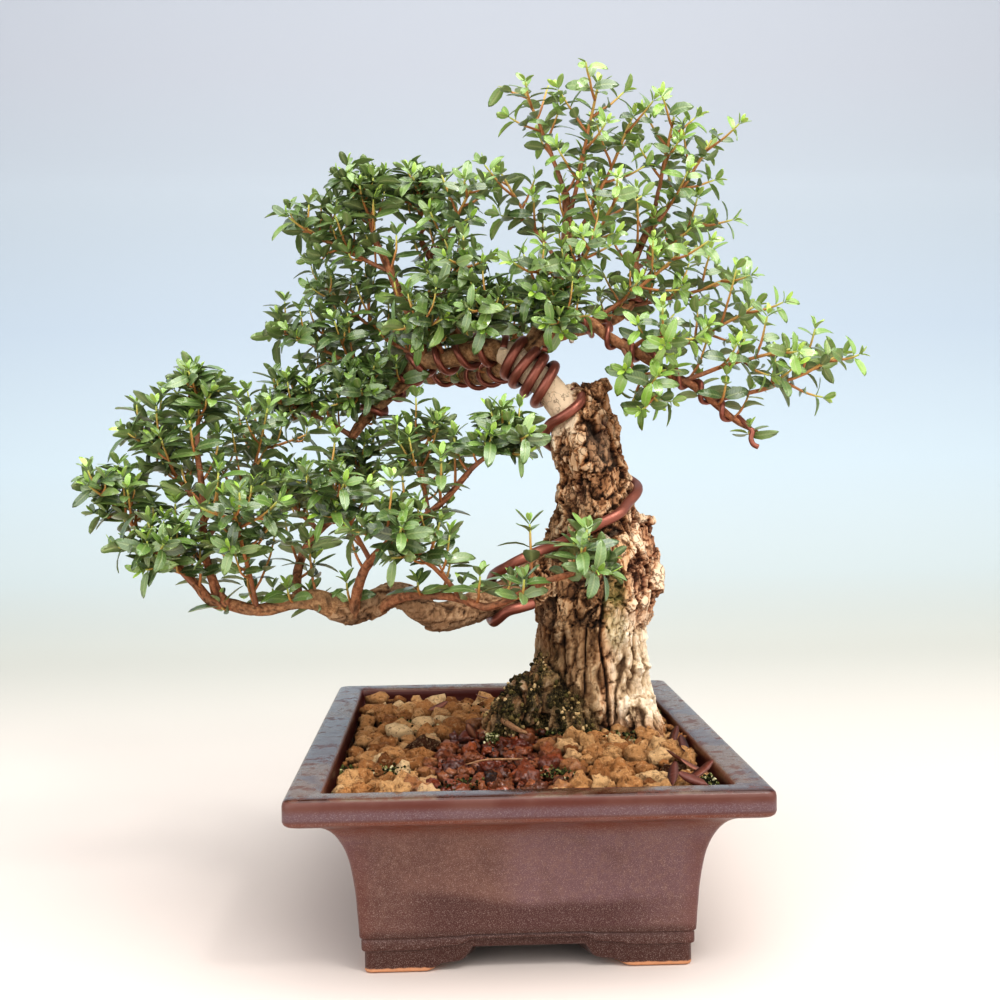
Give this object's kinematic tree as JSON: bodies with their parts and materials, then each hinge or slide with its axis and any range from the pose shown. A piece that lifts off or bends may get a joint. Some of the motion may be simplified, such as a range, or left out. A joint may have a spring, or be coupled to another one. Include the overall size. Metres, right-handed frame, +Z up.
{
  "type": "common myrtle bonsai",
  "caption": "Small wired myrtle tree with a thick bare trunk and a low side branch, planted in a rectangular glazed pot on corner feet.",
  "frame": {"origin": "middle of the bottom of the whole object's box, on the surface it stands on", "axes": "+Z up, -Y out of the short side of the pot that faces the camera, +X to the right seen from there"},
  "size_m": [0.2932, 0.212, 0.3126],
  "materials": {
    "mauve_glaze": "semi-gloss mauve-brown glaze",
    "black_plastic_mesh": "plain",
    "akadama_soil": "baked clay granules",
    "myrtle_bark": "flaky bark",
    "copper_brown_wire": "anodised copper brown",
    "myrtle_leaf": "glossy leaf"
  },
  "bodies": {
    "root": {"pot": "mauve_glaze", "drain_screen_front": "black_plastic_mesh", "drain_screen_back": "black_plastic_mesh", "soil": "akadama_soil", "wood": "myrtle_bark", "wire_thick": "copper_brown_wire", "wire_left": "copper_brown_wire", "wire_right": "copper_brown_wire", "wire_riser": "copper_brown_wire", "wire_back": "copper_brown_wire", "spray_01": "myrtle_leaf", "spray_02": "myrtle_leaf", "spray_03": "myrtle_leaf", "spray_04": "myrtle_leaf", "spray_05": "myrtle_leaf", "spray_06": "myrtle_leaf", "spray_07": "myrtle_leaf", "spray_08": "myrtle_leaf", "spray_09": "myrtle_leaf", "spray_10": "myrtle_leaf", "spray_11": "myrtle_leaf", "spray_12": "myrtle_leaf", "spray_13": "myrtle_leaf", "spray_14": "myrtle_leaf", "spray_15": "myrtle_leaf", "spray_16": "myrtle_leaf", "spray_17": "myrtle_leaf", "spray_18": "myrtle_leaf", "spray_19": "myrtle_leaf", "spray_20": "myrtle_leaf", "spray_21": "myrtle_leaf", "spray_22": "myrtle_leaf", "spray_23": "myrtle_leaf", "spray_24": "myrtle_leaf", "spray_25": "myrtle_leaf", "spray_26": "myrtle_leaf", "spray_27": "myrtle_leaf", "spray_28": "myrtle_leaf", "spray_29": "myrtle_leaf", "spray_30": "myrtle_leaf", "spray_31": "myrtle_leaf", "spray_32": "myrtle_leaf", "spray_33": "myrtle_leaf", "spray_34": "myrtle_leaf", "spray_35": "myrtle_leaf", "spray_36": "myrtle_leaf", "spray_37": "myrtle_leaf", "spray_38": "myrtle_leaf", "spray_39": "myrtle_leaf", "spray_40": "myrtle_leaf", "spray_41": "myrtle_leaf", "spray_42": "myrtle_leaf", "spray_43": "myrtle_leaf", "spray_44": "myrtle_leaf", "spray_45": "myrtle_leaf", "spray_46": "myrtle_leaf"}
  },
  "joints": []
}
